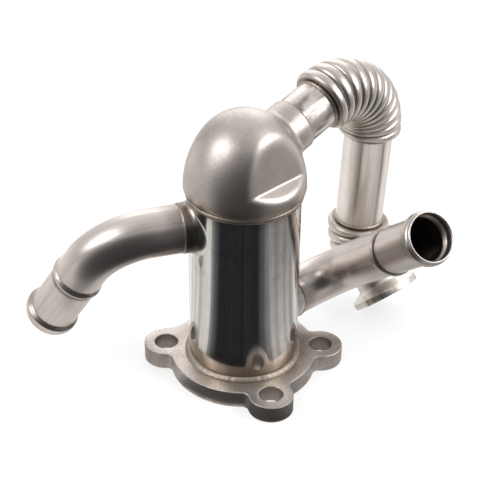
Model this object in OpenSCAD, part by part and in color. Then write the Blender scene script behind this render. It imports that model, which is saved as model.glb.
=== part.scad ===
// Exhaust gas recirculation cooler. A tube bundle in a round shell stands on a three-hole flange.
// Hot gas rises through the flange and the tubes into the dome, and leaves by a bellows pipe.
// Coolant enters the shell low on one side and leaves high on the other.
// Origin: centre of the flange's lower face, +Z along the shell. Azimuths turn about Z from +X.

/* [Base flange] */
// Thickness of the flange plate
flange_t = 7; // [5.5:0.5:12]
// Radius of the round middle of the plate
flange_disc_r = 28.3; // [27:0.1:32]
// Radius of each bolt ear
ear_r = 8.6; // [7:0.1:11]
// Radius from the axis to the bolt holes
bolt_circle_r = 30.5; // [28:0.1:36]
// Diameter of the bolt holes
bolt_hole_d = 9; // [6:0.1:10]
// Azimuth of the ear below the coolant outlet
left_ear_az = 173.4; // [165:0.1:180]
// Azimuth of the ear below the gas outlet
right_ear_az = 5.2; // [0:0.1:15]
// Azimuth of the ear at the front
front_ear_az = -69.8; // [-80:0.1:-60]
// Radius of the hollow corners where the ears meet the plate
ear_fillet_r = 2.5; // [1:0.1:4]
// Radius of the one long hollow corner behind the left ear
long_fillet_r = 14; // [8:0.5:16]
// Diameter of the gas port under the tubes
gas_port_d = 36; // [35.6:0.1:38]
// Depth of the seat that the shell stands in
seat_depth = 3; // [2:0.1:4]
// Width of the chamfer at each bolt hole
hole_chamfer = 0.5; // [0.2:0.1:0.8]

/* [Shell] */
// Outer diameter of the shell
shell_od = 42; // [41:0.1:44]
// Wall thickness of the shell
shell_wall = 1; // [0.8:0.1:1.5]
// Length of the shell, from its seat to its upper end
shell_len = 78; // [70:1:110]

/* [Tube bundle] */
// Outer diameter of a gas tube
tube_od = 6; // [4:0.1:6.4]
// Wall thickness of a gas tube
tube_wall = 0.5; // [0.3:0.1:0.8]
// Distance between neighbouring tubes
tube_pitch = 7.3; // [6.8:0.1:7.3]
// Thickness of the two tube sheets
sheet_t = 2; // [1:0.1:3]
// Thickness of the baffles
baffle_t = 1; // [0.6:0.1:2]
// Distance from the axis to the straight edge of a baffle
baffle_cut = 11; // [6:0.5:14]

/* [Dome] */
// How far the dome's side stands out from the shell
dome_step = 1.75; // [0.5:0.05:3]
// Height of the dome above the centre of its side arc
dome_rise = 30; // [26:0.5:34]
// Radius of the dome's side arc
dome_side_r = 38; // [34:0.5:46]
// Wall thickness of the dome
dome_wall = 1.2; // [0.8:0.1:1.5]
// Length of shell that the dome's rim covers
dome_overlap = 2.4; // [1.5:0.1:4]
// Height of the rolled edge at the dome's rim
rim_h = 2.6; // [1.5:0.1:3.5]
// Azimuth that the pressed flat faces
flat_az = -45.3; // [-60:0.1:-30]
// Elevation that the pressed flat faces
flat_el = 11.9; // [0:0.1:20]
// Distance of the flat from the dome's centre
flat_dist = 18.5; // [17:0.1:21]
// Height of the flat's lower edge above the dome's centre
ledge_h = 7.4; // [4:0.1:10]
// Slope of the ledge below the flat, in degrees
ledge_slope = 28; // [10:1:45]

/* [Gas pipe] */
// Outer diameter of the gas pipe
gas_od = 19; // [16:0.1:20]
// Wall thickness of the gas pipe
gas_wall = 1; // [0.8:0.1:1.5]
// Height of the neck's axis above the dome's centre, measured at the shell's axis
neck_h = 9.1; // [7:0.1:11]
// Azimuth of the dome's neck
neck_az = 42.8; // [30:0.1:55]
// Elevation of the dome's neck
neck_el = 18; // [5:0.1:25]
// Distance along the neck from the axis to the neck's end
neck_reach = 25.5; // [24:0.1:28]
// Distance along the neck from the axis to the upper bellows
stub_reach = 40.2; // [35:0.1:48]
// Turn of the upper bellows' bend about the neck, from straight down
upper_roll = 1.3; // [-15:0.1:15]
// Angle of the upper bellows' bend
upper_angle = 110.5; // [100:0.1:115]
// Length of the down tube between the two bellows
down_len = 42.9; // [30:0.1:48]
// Turn of the lower bellows' bend about the down tube
lower_roll = -95; // [-110:0.1:-80]
// Angle of the lower bellows' bend
lower_angle = 44.7; // [35:0.1:55]
// Length of the outlet from the lower bellows to its face
outlet_len = 17.2; // [13:0.1:17.6]
// Diameter of the outlet flange
outlet_flange_d = 28; // [25:0.1:28.5]
// Thickness of the outlet flange's rim
outlet_rim_t = 3; // [2:0.1:4]
// Length of the cone behind the outlet flange's rim
outlet_cone_t = 2.6; // [1:0.1:4]
// Chamfer at the outlet's mouth
outlet_chamfer = 1; // [0.3:0.1:1.2]
// Chamfer behind the outlet flange's rim
rim_chamfer = 0.6; // [0.2:0.1:1]

/* [Bellows] */
// Bend radius of the upper bellows
upper_bend_r = 21.8; // [18:0.1:28]
// Number of convolutions of the upper bellows
upper_count = 12; // [8:1:13]
// Bend radius of the lower bellows
lower_bend_r = 21.7; // [19:0.1:28]
// Number of convolutions of the lower bellows
lower_count = 5; // [3:1:6]
// Diameter over the crests
bellows_od = 24.8; // [23.4:0.1:27]
// Height of a convolution
crest_h = 1.9; // [1:0.1:2]
// Wall thickness of the bellows
bellows_wall = 0.4; // [0.2:0.05:0.5]
// Length of the plain cuff at each end
cuff_len = 2; // [1.5:0.1:4]

/* [Coolant pipes] */
// Outer diameter of both coolant pipes
pipe_od = 18.2; // [14:0.1:19]
// Wall thickness of both coolant pipes
pipe_wall = 1; // [0.8:0.1:1.5]
// Height of the outlet pipe's axis below the shell's upper end
outlet_drop = 15; // [14:0.1:22]
// Azimuth at which the outlet pipe leaves the shell
left_az = 197.7; // [185:0.1:210]
// Straight length between the outlet pipe's brazed joint and its bend
left_lead = 10.6; // [4:0.1:20]
// Bend radius of the outlet pipe
left_bend_r = 25; // [20:0.5:30]
// Turn of the outlet pipe's bend about its first length, from straight down
left_roll = -25; // [-40:0.1:-10]
// Angle of the outlet pipe's bend
left_angle = 67.8; // [50:0.1:80]
// Straight length between the outlet pipe's bend and its stop bead
left_tail = 7.9; // [7:0.1:20]
// Height of the inlet pipe's axis above the flange
inlet_rise = 13.5; // [12:0.1:20]
// Azimuth at which the inlet pipe leaves the shell
right_az = 43.3; // [40:0.1:60]
// Straight length between the inlet pipe's brazed joint and its bend
right_lead = 0.2; // [0.1:0.1:10]
// Clearance that the inlet pipe's bend keeps to the lower bellows, measured level
bend_gap = 1.62; // [1:0.02:5]
// Turn of the inlet pipe's bend about its first length, from straight down
right_roll = -130.4; // [-140:0.1:-115]
// Angle of the inlet pipe's bend
right_angle = 97.2; // [85:0.1:110]
// Straight length between the inlet pipe's bend and its stop bead
right_tail = 28.1; // [7:0.1:34]
// Length of each hose spigot, from the stop bead to the mouth
spigot_len = 26; // [18:0.5:32]
// Height of the stop bead
stop_bead_h = 1.2; // [0.6:0.1:1.8]
// Length over which the pipe swells to the stop bead
stop_bead_len = 6; // [3:0.1:7]
// Height of the bead at the mouth
end_bead_h = 0.85; // [0.4:0.05:1.2]
// Length over which the spigot swells to the bead at its mouth
end_bead_len = 3; // [1.5:0.1:4]
// Length of the level top of the bead at the mouth
end_land = 1.6; // [1:0.1:3]
// Length over which that bead drops to the mouth
end_round = 1; // [0.5:0.1:1.5]

/* [Joints] */
// Wall thickness of the necks pulled out of the shell and the dome
neck_wall = 0.6; // [0.4:0.05:1]
// Length of the shell's necks beyond its wall
neck_len = 3.6; // [3:0.1:4.5]
// How much wider a neck is at its root than at its end
neck_flare = 1; // [0.4:0.1:1.6]
// Length over which the dome's neck narrows from its flare
flare_len = 5; // [3:0.5:7]
// Depth of the dome neck's root below its end
neck_root = 8; // [6:0.5:10]
// Distance of a coolant pipe's inner end from the shell's outside
seat_step = 0.5; // [0.2:0.1:1]
// Width of the weld bead at the flange
base_weld_w = 1.4; // [1:0.1:2.2]
// Width of the weld bead under the dome
dome_weld_w = 1; // [0.6:0.1:1.4]
// Width of the small brazed and welded fillets on the pipes
fillet_w = 0.8; // [0.5:0.05:1]
// Clearance between parts that are brazed or welded together
gap = 0.05; // [0.02:0.01:0.1]

/* [Hidden] */
$fn = 96;

steel = "#b9b4ad";
bright_steel = "#c9c6c2";
weld_tint = "#94867a";

shell_r = shell_od / 2;
shell_in_r = shell_r - shell_wall;
seat_z = flange_t - seat_depth;
shell_top = seat_z + shell_len;
dome_r = shell_r + dome_step;
dome_z = shell_top - dome_overlap + rim_h / 2;
rim_z = shell_top - dome_overlap;
gas_r = gas_od / 2;
pipe_r = pipe_od / 2;
tube_r = tube_od / 2;
bellows_r = bellows_od / 2;
bellows_sides = 28;
// Small overlap of curves that would otherwise only touch
lap = 0.05;
// A pipe is this much thinner in its bend than on its straight lengths, which lap onto the bend
bend_thin = 0.02;
bend_lap = 0.6;
// Places of the rings across one convolution, as shares of its length: close together at the root
crest_steps = [0, 0.08, 0.25, 0.5, 0.75, 0.92];

neck_z = dome_z + neck_h;
left_z = shell_top - outlet_drop;
right_z = flange_t + inlet_rise;
socket_seat = shell_r + seat_step;
socket_end = shell_r + neck_len;
left_run = socket_end + fillet_w + left_lead;
right_run = socket_end + fillet_w + right_lead;

// Distance from the shell's axis to the lower end of the down tube, measured level
down_foot = stub_reach * cos(neck_el)
  + upper_bend_r * (sin(neck_el) + sin(upper_angle - neck_el))
  + down_len * cos(neck_el - upper_angle);
// The inlet pipe's bend passes the lower bellows about 70 degrees round. It has then gone the share
// near_out of its radius outwards and near_aside to the side, and its radius leaves the clearance
near_turn = 70;
near_out = sin(near_turn);
near_aside = (1 - cos(near_turn)) * abs(sin(right_roll));
near_sq = near_out ^ 2 + near_aside ^ 2;
bend_room = down_foot - right_run;
pass_dist = pipe_r + bellows_r + bend_gap;
right_bend_r = (bend_room * near_out - sqrt(pass_dist ^ 2 * near_sq - (bend_room * near_aside) ^ 2)) / near_sq;

// Centres of the gas tubes: one in the middle, then hexagonal rings of six and twelve
tube_places = [for (row = [-2:2]) for (i = [0:4 - abs(row)])
  tube_pitch * [i - (4 - abs(row)) / 2, row * sin(60)]];

function tube_name(i) = str("gas_tube_", i < 10 ? "0" : "", i);

// Puts a child at height z on the shell's axis, with its Z along an azimuth and an elevation
module aim(z, az, el) {
  translate([0, 0, z])
    rotate([0, 90 - el, az])
      children();
}

// Carries a flat profile round a bend that starts at the origin along Z and turns towards X
module bend(r, angle) {
  translate([r, 0, 0])
    rotate([90, 0, 180])
      rotate_extrude(angle = angle)
        translate([r, 0])
          children();
}

// Moves a child to the end of such a bend
module after_bend(r, angle) {
  translate([r, 0, 0])
    rotate([0, angle, 0])
      translate([-r, 0, 0])
        children();
}

// The gas pipe as a chain: each place is measured from the one before it
module at_neck(reach) {
  aim(neck_z, neck_az, neck_el)
    translate([0, 0, reach])
      children();
}

module at_upper_bend() {
  at_neck(stub_reach)
    rotate(upper_roll)
      children();
}

module at_down_tube() {
  at_upper_bend()
    after_bend(upper_bend_r, upper_angle)
      children();
}

module at_lower_bend() {
  at_down_tube()
    translate([0, 0, down_len])
      rotate(lower_roll)
        children();
}

module at_outlet() {
  at_lower_bend()
    after_bend(lower_bend_r, lower_angle)
      children();
}

module pipe(r, wall, length) {
  linear_extrude(length)
    difference() {
      circle(r);
      circle(r - wall);
    }
}

// Rounded bead in the corner between a round surface of radius r and the face at z = 0 below it
module corner_bead(r, w) {
  rotate_extrude()
    translate([r + gap, gap])
      intersection() {
        circle(w, $fn = 48);
        square(w);
      }
}

function ear_centre(az) = bolt_circle_r * [cos(az), sin(az)];
// Angle at the axis between an ear and the end of a hollow corner of radius f
function fillet_angle(f) =
  let (a = flange_disc_r + f, b = ear_r + f)
  acos((a * a + bolt_circle_r * bolt_circle_r - b * b) / (2 * a * bolt_circle_r));

// Hollow corner between an ear and the plate. turn_side is 1 or -1
module ear_corner(az, f, turn_side) {
  corner_az = az + turn_side * fillet_angle(f);
  corner = (flange_disc_r + f) * [cos(corner_az), sin(corner_az)];
  difference() {
    linear_extrude(flange_t)
      polygon([[0, 0], ear_centre(az), corner]);
    translate([corner[0], corner[1], -1])
      cylinder(r = f + lap, h = flange_t + 2);
  }
}

module ear(az, fillet_before, fillet_after) {
  translate(ear_centre(az))
    cylinder(r = ear_r, h = flange_t);
  ear_corner(az, fillet_before, -1);
  ear_corner(az, fillet_after, 1);
}

module bolt_hole(az) {
  translate(ear_centre(az)) {
    translate([0, 0, -1])
      cylinder(d = bolt_hole_d, h = flange_t + 2);
    translate([0, 0, flange_t - hole_chamfer])
      cylinder(d1 = bolt_hole_d, d2 = bolt_hole_d + 4 * hole_chamfer, h = 2 * hole_chamfer);
  }
}

module base_flange() {
  color(steel)
    difference() {
      union() {
        cylinder(r = flange_disc_r, h = flange_t);
        ear(left_ear_az, long_fillet_r, ear_fillet_r);
        ear(right_ear_az, ear_fillet_r, ear_fillet_r);
        ear(front_ear_az, ear_fillet_r, ear_fillet_r);
      }
      for (az = [left_ear_az, right_ear_az, front_ear_az])
        bolt_hole(az);
      translate([0, 0, -1])
        cylinder(d = gas_port_d, h = flange_t);
      translate([0, 0, seat_z])
        cylinder(r = shell_r + gap, h = flange_t);
    }
}

module base_weld() {
  color(weld_tint)
    translate([0, 0, flange_t])
      corner_bead(shell_r, base_weld_w);
}

// Neck pulled out of the shell for a coolant pipe, with a flared root
module shell_neck(z, az) {
  aim(z, az, 0)
    rotate_extrude()
      polygon([
        [0, 0],
        [pipe_r + gap + neck_wall + neck_flare, 0],
        [pipe_r + gap + neck_wall + neck_flare, shell_r - 2],
        [pipe_r + gap + neck_wall, socket_end - 1],
        [pipe_r + gap + neck_wall, socket_end],
        [0, socket_end]]);
}

// Way through a neck: the pipe's socket, and the pipe's bore through the shell wall
module neck_bore(z, az) {
  aim(z, az, 0) {
    cylinder(r = pipe_r - pipe_wall, h = socket_end + 1);
    translate([0, 0, socket_seat])
      cylinder(r = pipe_r + gap, h = neck_len + 1);
  }
}

module shell() {
  color(bright_steel)
    difference() {
      union() {
        translate([0, 0, seat_z])
          cylinder(r = shell_r, h = shell_len);
        shell_neck(left_z, left_az);
        shell_neck(right_z, right_az);
      }
      translate([0, 0, seat_z - 1])
        cylinder(r = shell_in_r, h = shell_len + 2);
      neck_bore(left_z, left_az);
      neck_bore(right_z, right_az);
    }
}

module tube_holes(r) {
  for (place = tube_places)
    translate(place)
      circle(r, $fn = 48);
}

module tube_sheet(z) {
  color(steel)
    translate([0, 0, z])
      linear_extrude(sheet_t)
        difference() {
          circle(shell_in_r - gap);
          tube_holes(tube_r + gap);
        }
}

module lower_tube_sheet() {
  tube_sheet(seat_z);
}

module upper_tube_sheet() {
  tube_sheet(shell_top - sheet_t);
}

// Plate that makes the coolant cross the tubes, open on the side that az points to
module baffle(z, az) {
  color(steel)
    translate([0, 0, z])
      linear_extrude(baffle_t)
        difference() {
          circle(shell_in_r - gap);
          rotate(az)
            translate([baffle_cut, -shell_r])
              square([shell_r, shell_od]);
          tube_holes(tube_r + gap);
        }
}

module lower_baffle() {
  baffle(seat_z + shell_len / 3, left_az);
}

module upper_baffle() {
  baffle(seat_z + 2 * shell_len / 3, right_az);
}

module gas_tube(i) {
  color(bright_steel)
    translate(tube_places[i - 1])
      translate([0, 0, seat_z])
        pipe(tube_r, tube_wall, shell_len, $fn = 48);
}

// Half section of the dome's outside, moved inwards by inset: rolled rim, side arc and crown arc.
// The crown's radius follows from its tangent meeting the side arc.
module dome_section(inset) {
  side_c = dome_r - dome_side_r;
  crown_r = (dome_side_r * dome_side_r - dome_rise * dome_rise - side_c * side_c)
    / (2 * (dome_side_r - dome_rise));
  crown_z = dome_rise - crown_r;
  meet_z = crown_z + crown_r * crown_z / norm([side_c, crown_z]);
  rim_low = rim_z - dome_z;
  rim_high = rim_low + rim_h;
  rim_in_r = shell_r + dome_wall / 2;
  intersection() {
    translate([side_c, 0])
      circle(dome_side_r - inset, $fn = 180);
    translate([0, rim_high])
      square([dome_r, meet_z - rim_high]);
  }
  intersection() {
    translate([0, crown_z])
      circle(crown_r - inset);
    translate([0, meet_z])
      square([dome_r, dome_rise]);
  }
  // The rolled rim swells from the shell to the dome's full width along a quarter ellipse
  polygon(concat(
    [[0, rim_high], [0, rim_low]],
    [for (a = [0:15:90])
      [rim_in_r - inset + (dome_r - 0.1 - rim_in_r) * sin(a), rim_high - rim_h * cos(a)]]));
}

// What the pressed flat and its sloping ledge take away, moved inwards by inset
module flat_press(inset) {
  reach = dome_r;
  lean = tan(flat_el);
  low = ledge_h - inset;
  foot = (flat_dist - inset - low * sin(flat_el)) / cos(flat_el);
  rotate(flat_az)
    rotate([90, 0, 0])
      translate([0, 0, -reach])
        linear_extrude(2 * reach)
          polygon([
            [foot, low],
            [foot + reach, low - reach * tan(ledge_slope)],
            [foot + reach, low + reach],
            [foot - reach * lean, low + reach]]);
}

module dome_form(inset) {
  difference() {
    rotate_extrude()
      dome_section(inset);
    flat_press(inset);
  }
}

// Neck pulled out of the dome for the gas pipe, with a flared root
module dome_neck() {
  root = neck_reach - neck_root;
  rotate_extrude()
    polygon([
      [0, root / 2],
      [gas_r + gap + neck_wall + 2 * neck_flare, root / 2],
      [gas_r + gap + neck_wall + 2 * neck_flare, root],
      [gas_r + gap + neck_wall + neck_flare, root + 0.4 * flare_len],
      [gas_r + gap + neck_wall, root + flare_len],
      [gas_r + gap + neck_wall, neck_reach],
      [0, neck_reach]]);
}

module dome() {
  color(steel)
    difference() {
      union() {
        translate([0, 0, dome_z])
          dome_form(0);
        at_neck(0)
          dome_neck();
      }
      intersection() {
        translate([0, 0, dome_z])
          dome_form(dome_wall);
        translate([0, 0, shell_top])
          cylinder(r = dome_r, h = dome_rise + 1);
      }
      translate([0, 0, rim_z - 1])
        cylinder(r = shell_r + gap, h = dome_overlap + 1.5);
      at_neck(0)
        cylinder(r = gas_r - gas_wall, h = neck_reach + 1);
      at_neck(neck_reach - neck_len)
        cylinder(r = gas_r + gap, h = neck_len + 1);
    }
}

module dome_weld() {
  color(weld_tint)
    translate([0, 0, rim_z])
      mirror([0, 0, 1])
        corner_bead(shell_r, dome_weld_w);
}

module outlet_stub() {
  start = neck_reach - neck_len;
  color(bright_steel)
    at_neck(start)
      pipe(gas_r, gas_wall, stub_reach - start);
}

module neck_braze() {
  color(weld_tint)
    at_neck(neck_reach)
      corner_bead(gas_r, fillet_w);
}

// Weld at the edge of a bellows' cuff, before the bend
module weld_before_bend() {
  color(weld_tint)
    translate([0, 0, -cuff_len])
      mirror([0, 0, 1])
        corner_bead(gas_r, fillet_w);
}

// Weld at the edge of a bellows' cuff, after the bend
module weld_after_bend() {
  color(weld_tint)
    translate([0, 0, cuff_len])
      corner_bead(gas_r, fillet_w);
}

module stub_weld() {
  at_upper_bend()
    weld_before_bend();
}

module down_tube_upper_weld() {
  at_down_tube()
    weld_after_bend();
}

module down_tube_lower_weld() {
  at_lower_bend()
    weld_before_bend();
}

module outlet_weld() {
  at_outlet()
    weld_after_bend();
}

module down_tube() {
  color(bright_steel)
    at_down_tube()
      pipe(gas_r, gas_wall, down_len);
}

// Rings of a bellows as [distance along its centre line, outer radius], cuffs at both ends
function bellows_rings(count, length) =
  let (cuff_r = gas_r / cos(180 / bellows_sides) + 2 * gap + bellows_wall, pitch = length / count)
  concat(
    [[-cuff_len, cuff_r], [-0.2 * pitch, cuff_r]],
    [for (i = [0:count - 1]) for (t = crest_steps)
      [(i + t) * pitch, bellows_r - crest_h + crest_h * sqrt(1 - pow(2 * t - 1, 2))]],
    [[length, bellows_r - crest_h], [length + 0.2 * pitch, cuff_r], [length + cuff_len, cuff_r]]);

// Points of one ring at distance s along a bend of radius bend_r that has straight cuffs
function ring_points(bend_r, angle, s, ring_r) =
  let (
    t = min(max(s / bend_r * 180 / PI, 0), angle),
    over = s - bend_r * t * PI / 180)
  [for (i = [0:bellows_sides - 1])
    let (a = 360 * i / bellows_sides, lever = bend_r - ring_r * cos(a))
    [bend_r - lever * cos(t) + over * sin(t), ring_r * sin(a), lever * sin(t) + over * cos(t)]];

// Bellows round a bend: an outer and an inner wall of rings, closed at both ends
module bellows(bend_r, angle, count) {
  rings = bellows_rings(count, bend_r * angle * PI / 180);
  n = len(rings);
  m = bellows_sides;
  outer = [for (ring = rings) each ring_points(bend_r, angle, ring[0], ring[1])];
  inner = [for (ring = rings) each ring_points(bend_r, angle, ring[0], ring[1] - bellows_wall)];
  // Two triangles between neighbouring points of two rings that start at indices a and b
  function strip(a, b) = [for (i = [0:m - 1])
    let (k = (i + 1) % m)
    each [[a + i, b + i, b + k], [a + i, b + k, a + k]]];
  color(steel)
    polyhedron(
      concat(outer, inner),
      concat(
        [for (i = [0:n - 2]) each strip(i * m, (i + 1) * m)],
        [for (i = [0:n - 2]) each strip((n + i + 1) * m, (n + i) * m)],
        strip(n * m, 0),
        strip((n - 1) * m, (2 * n - 1) * m)));
}

module upper_bellows() {
  at_upper_bend()
    bellows(upper_bend_r, upper_angle, upper_count);
}

module lower_bellows() {
  at_lower_bend()
    bellows(lower_bend_r, lower_angle, lower_count);
}

// Turned outlet: a neck that fits the bellows' cuff, a cone and a rim with a chamfered mouth
module gas_outlet_flange() {
  bore_r = gas_r - gas_wall;
  rim_back = outlet_len - outlet_rim_t;
  color(steel)
    at_outlet()
      rotate_extrude()
        polygon([
          [bore_r, 0],
          [gas_r, 0],
          [gas_r, rim_back - outlet_cone_t],
          [outlet_flange_d / 2 - rim_chamfer, rim_back],
          [outlet_flange_d / 2, rim_back + rim_chamfer],
          [outlet_flange_d / 2, outlet_len],
          [bore_r + outlet_chamfer, outlet_len],
          [bore_r, outlet_len - outlet_chamfer]]);
}

// Points up the side of a spigot of radius r, from its bend to its mouth: the stop bead swells
// slowly and drops in a quarter round, and the end bead has a level top
function spigot_side(r, tail) =
  let (mouth = tail + spigot_len)
  concat(
    [[r, -bend_lap], [r, tail - stop_bead_len]],
    [for (a = [0:15:90]) [r + stop_bead_h * cos(a), tail - stop_bead_h * (1 - sin(a))]],
    [for (t = [0:0.2:1])
      [r + end_bead_h * (1 - cos(180 * t)) / 2, mouth - end_round - end_land - end_bead_len * (1 - t)]],
    [for (a = [0:30:90]) [r + end_bead_h * cos(a), mouth - end_round * (1 - sin(a))]]);

// Solid form of a coolant pipe of radius r: a straight length, one bend and a hose spigot, made
// longer at both ends by over. run is measured from the shell's axis to the bend, tail from the
// bend to the stop bead
module pipe_form(r, run, bend_r, roll, angle, tail, over) {
  mouth = tail + spigot_len;
  translate([0, 0, socket_seat - over])
    cylinder(r = r, h = run - socket_seat + over + bend_lap);
  translate([0, 0, run])
    rotate(roll) {
      bend(bend_r, angle)
        circle(r - bend_thin);
      after_bend(bend_r, angle)
        rotate_extrude()
          polygon(concat(
            [[0, mouth + over], [0, -bend_lap]],
            spigot_side(r, tail),
            over > 0 ? [[r, mouth + over]] : []));
    }
}

module coolant_pipe(run, bend_r, roll, angle, tail) {
  color(steel)
    difference() {
      pipe_form(pipe_r, run, bend_r, roll, angle, tail, 0);
      pipe_form(pipe_r - pipe_wall, run, bend_r, roll, angle, tail, 1);
    }
}

module pipe_braze() {
  color(weld_tint)
    translate([0, 0, socket_end])
      corner_bead(pipe_r, fillet_w);
}

module coolant_outlet_pipe() {
  aim(left_z, left_az, 0)
    coolant_pipe(left_run, left_bend_r, left_roll, left_angle, left_tail);
}

module coolant_outlet_braze() {
  aim(left_z, left_az, 0)
    pipe_braze();
}

module coolant_inlet_pipe() {
  aim(right_z, right_az, 0)
    coolant_pipe(right_run, right_bend_r, right_roll, right_angle, right_tail);
}

module coolant_inlet_braze() {
  aim(right_z, right_az, 0)
    pipe_braze();
}

base_flange();
shell();
base_weld();
lower_tube_sheet();
upper_tube_sheet();
lower_baffle();
upper_baffle();
for (i = [1:19])
  gas_tube(i);
dome();
dome_weld();
outlet_stub();
neck_braze();
stub_weld();
upper_bellows();
down_tube_upper_weld();
down_tube();
down_tube_lower_weld();
lower_bellows();
outlet_weld();
gas_outlet_flange();
coolant_outlet_pipe();
coolant_outlet_braze();
coolant_inlet_pipe();
coolant_inlet_braze();
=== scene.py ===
"""Looks of the exhaust gas cooler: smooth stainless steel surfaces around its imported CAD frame.

Lengths are in metres and angles in radians. The frame's origin is the centre of the flange's lower face.
"""

from math import cos, pi, radians, sin, tan

import bmesh
import bpy
import numpy as np
from bpy.props import FloatProperty, FloatVectorProperty, IntProperty, PointerProperty
from mathutils import Matrix


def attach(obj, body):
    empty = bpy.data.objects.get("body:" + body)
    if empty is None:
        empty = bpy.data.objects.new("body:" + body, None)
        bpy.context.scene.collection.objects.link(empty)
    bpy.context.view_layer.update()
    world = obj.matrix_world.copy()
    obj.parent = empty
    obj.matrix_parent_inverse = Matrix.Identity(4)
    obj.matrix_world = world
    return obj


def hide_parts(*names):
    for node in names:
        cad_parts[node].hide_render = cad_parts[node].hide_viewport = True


bl_info = {
    "name": "Exhaust gas cooler",
    "version": (1, 0, 0),
    "blender": (4, 5, 0),
    "location": "View3D > Sidebar > Cooler",
    "description": "Builds the cooler's steel pieces and its studio around the CAD frame",
    "category": "Object",
}

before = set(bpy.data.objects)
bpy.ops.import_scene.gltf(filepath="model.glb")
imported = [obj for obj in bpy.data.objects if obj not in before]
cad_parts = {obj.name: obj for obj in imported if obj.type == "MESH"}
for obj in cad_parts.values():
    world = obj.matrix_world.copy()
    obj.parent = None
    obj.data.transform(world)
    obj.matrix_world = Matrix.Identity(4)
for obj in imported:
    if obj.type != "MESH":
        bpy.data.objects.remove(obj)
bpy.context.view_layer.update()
MM = 0.001
# Points round a finely divided ring
FINE = 128


def length(name, text, mm):
    """A length property whose default is given in millimetres."""
    return FloatProperty(name=name, description=text, default=mm * MM, unit="LENGTH", precision=5)


def angle(name, text, degrees):
    """An angle property whose default is given in degrees."""
    return FloatProperty(name=name, description=text, default=radians(degrees), unit="ROTATION")


def linear(code):
    """Turns an sRGB hex colour into linear red, green, blue and alpha."""
    srgb = np.array([int(code[i : i + 2], 16) for i in (1, 3, 5)]) / 255
    rgb = np.where(srgb <= 0.04045, srgb / 12.92, ((srgb + 0.055) / 1.055) ** 2.4)
    return (*rgb.tolist(), 1.0)


def colour(name, text, code):
    """A colour property whose default is an sRGB hex value."""
    return FloatVectorProperty(
        name=name, description=text, default=linear(code), subtype="COLOR", size=4, min=0, max=1)


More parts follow.
